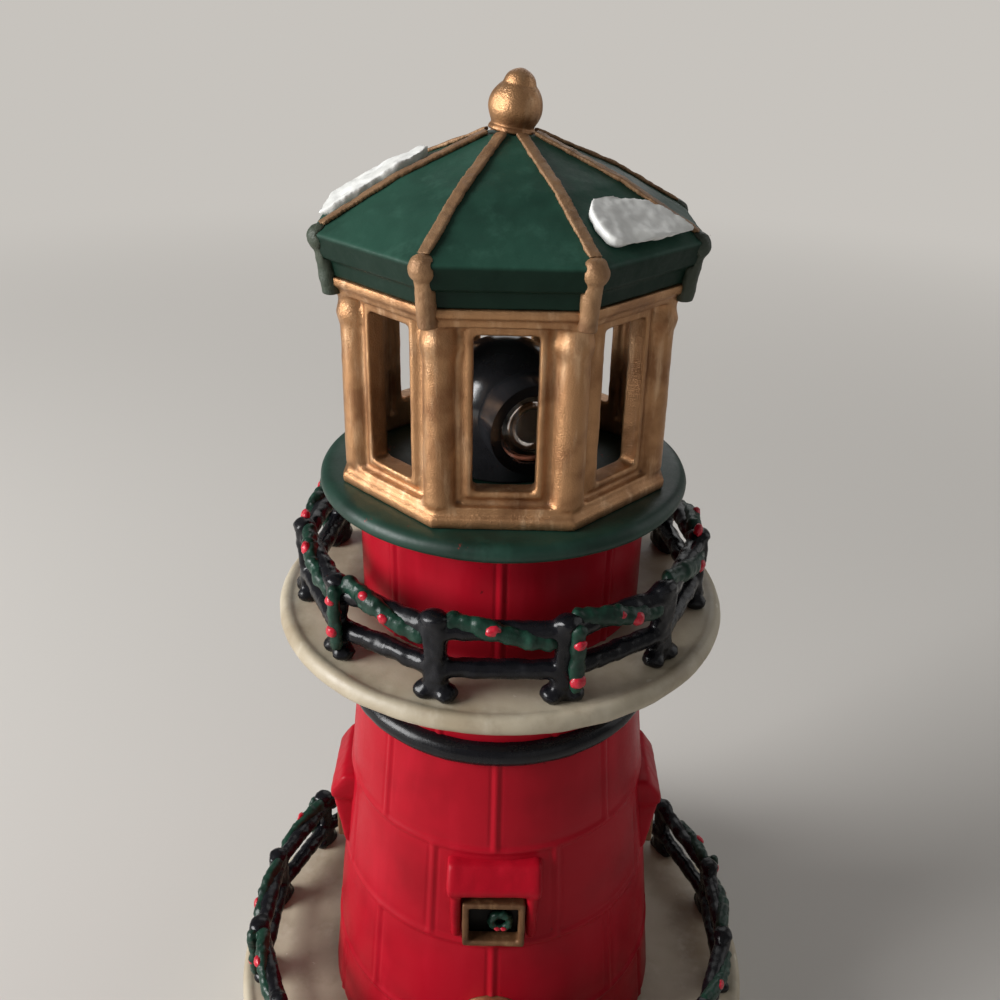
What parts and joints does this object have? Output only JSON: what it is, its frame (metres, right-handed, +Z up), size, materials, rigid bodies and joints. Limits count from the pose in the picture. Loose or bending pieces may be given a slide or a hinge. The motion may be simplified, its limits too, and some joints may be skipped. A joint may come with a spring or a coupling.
{
  "type": "light-up lighthouse figurine",
  "caption": "Round cast lighthouse with fenced galleries and an eight-sided lantern room, whose lamp shines through a beacon that a small motor turns.",
  "frame": {"origin": "on the surface that the figurine stands on, on the tower's axis", "axes": "+Z up along the tower, -Y out of the front with the door and a tower window"},
  "size_m": [0.136, 0.136, 0.249],
  "materials": {
    "red_paint": "satin",
    "cream_paint": "satin",
    "black_paint": "satin",
    "garland_green": "matte",
    "roof_green": "satin",
    "disc_green": "satin",
    "gold_paint": "metallic",
    "snow_white": "matte",
    "dark_pane": "gloss",
    "beacon_black": "gloss",
    "clear_lens": "clear",
    "chrome_bowl": "mirror",
    "lamp_clear": "gloss",
    "white_nylon": "satin",
    "black_plastic": "matte",
    "switch_white": "satin",
    "steel": "plain",
    "brass": "plain",
    "cell_wrap": "gloss",
    "felt": "felt",
    "wire_sleeve": "matte"
  },
  "bodies": {
    "figurine": {"tower_shell": "red_paint", "watch_drum": "red_paint", "window_hoods": "red_paint", "base_plinth": "cream_paint", "terrace_deck": "cream_paint", "gallery_deck": "cream_paint", "terrace_fence": "black_paint", "gallery_fence": "black_paint", "tower_ring": "black_paint", "terrace_garland": "garland_green", "gallery_garland": "garland_green", "roof": "roof_green", "front_door": "roof_green", "gallery_disc": "disc_green", "finial": "gold_paint", "roof_ribs": "gold_paint", "roof_brackets": "gold_paint", "lantern_base": "gold_paint", "lantern_columns": "gold_paint", "lantern_panels": "gold_paint", "lantern_cornice": "gold_paint", "window_frames": "gold_paint", "door_frame": "gold_paint", "roof_snow": "snow_white", "window_panes": "dark_pane", "lamp_bulb": "lamp_clear", "thrust_washer": "white_nylon", "base_plate": "black_plastic", "battery_box": "black_plastic", "switch_body": "black_plastic", "motor_plate": "black_plastic", "plate_pillars": "black_plastic", "lamp_stem": "black_plastic", "base_screws": "steel", "plate_screws": "steel", "motor_can": "steel", "battery_contacts": "steel", "motor_gearbox": "brass", "battery_cells": "cell_wrap", "felt_feet": "felt", "wire_loom": "wire_sleeve"},
    "beacon": {"beacon_turntable": "beacon_black", "beacon_gear": "white_nylon", "beacon_hood": "beacon_black", "beacon_bezel": "beacon_black", "beacon_reflector": "chrome_bowl", "beacon_lens": "clear_lens"},
    "pinion": {"drive_pinion": "white_nylon", "motor_shaft": "steel"},
    "switch": {"switch_slider": "switch_white"},
    "battery_lid": {"battery_door": "black_plastic"}
  },
  "joints": [
    {"name": "beacon_spin", "type": "hinge", "parent": "figurine", "child": "beacon", "pos_m": [0, 0, 0.17], "axis": [0, 0, 1], "continuous": true},
    {"name": "pinion_spin", "type": "hinge", "parent": "figurine", "child": "pinion", "pos_m": [0, 0.018, 0.158], "axis": [0, 0, 1], "continuous": true},
    {"name": "switch_slide", "type": "slide", "parent": "figurine", "child": "switch", "axis": [0, 1, 0], "range_m": [0, 0.004]},
    {"name": "battery_lid_lift", "type": "slide", "parent": "figurine", "child": "battery_lid", "axis": [0, 0, -1], "range_m": [0, 0.025]}
  ],
  "couplings": [
    {"joint": "pinion_spin", "follows": "beacon_spin", "ratio": -2}
  ]
}
